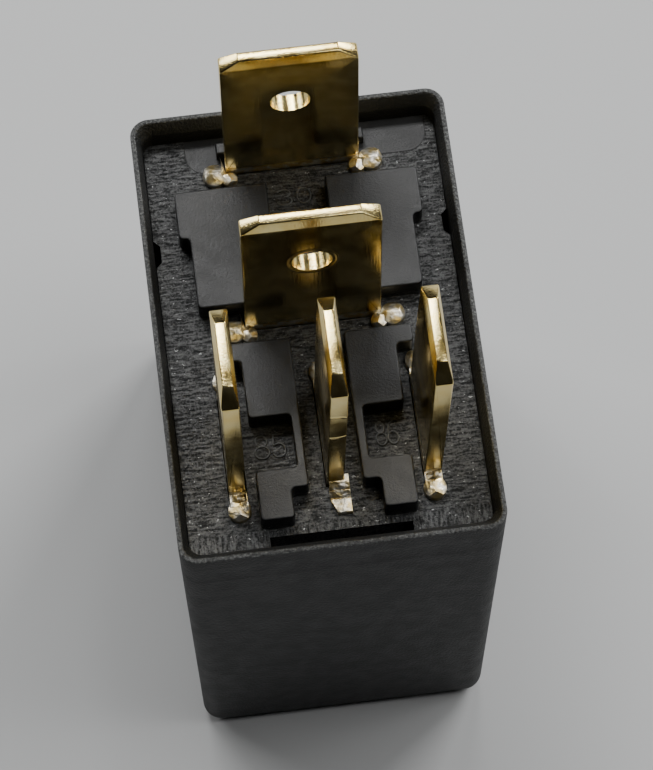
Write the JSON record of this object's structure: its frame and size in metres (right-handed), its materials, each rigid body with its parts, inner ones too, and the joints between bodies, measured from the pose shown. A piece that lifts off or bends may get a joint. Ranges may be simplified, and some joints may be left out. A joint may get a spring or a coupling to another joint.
{
  "type": "automotive relay",
  "caption": "Plug-in changeover relay in a black rectangular cover, with flat blade terminals standing from its base plate and a coil, armature and contacts inside.",
  "frame": {"origin": "centre of the cover's closed end, on the surface that it stands on", "axes": "+Z towards the blade tips, +Y towards terminal 30, +X across the relay, so that terminal 86 is at +X"},
  "size_m": [0.0148, 0.0226, 0.0334],
  "materials": {
    "cover_plastic": "fine matt mould texture, dark grey-black",
    "base_plastic": "spark-eroded face with smoother pads",
    "terminal_brass": "bright rolled faces, stamped edges",
    "magnet_steel": "zinc plated",
    "bobbin_plastic": "natural glass-filled plastic",
    "copper_wire": "enamelled copper wire",
    "spring_bronze": "cold rolled copper alloy",
    "contact_silver": "silver alloy contact rivets",
    "rivet_steel": "zinc plated"
  },
  "bodies": {
    "relay": {"cover": "cover_plastic", "base_plate": "base_plastic", "terminal_30": "terminal_brass", "terminal_87": "terminal_brass", "terminal_87a": "terminal_brass", "terminal_85": "terminal_brass", "terminal_86": "terminal_brass", "yoke": "magnet_steel", "core": "magnet_steel", "bobbin": "bobbin_plastic", "coil_winding": "copper_wire", "coil_lead_85": "copper_wire", "coil_lead_86": "copper_wire", "fixed_contact_no": "contact_silver", "fixed_contact_nc": "contact_silver", "spring_rivets": "rivet_steel", "terminal_rivets": "rivet_steel"},
    "armature": {"armature": "magnet_steel", "contact_spring": "spring_bronze", "moving_contact": "contact_silver"}
  },
  "joints": [
    {"name": "armature_hinge", "type": "hinge", "parent": "relay", "child": "armature", "pos_m": [0, 0.0086, 0.00544], "axis": [-1, 0, 0], "range_deg": [0, 2.6], "stiffness_Nm_per_rad": 0.01, "springref_deg": -17.19, "deforming": ["contact_spring"]}
  ]
}
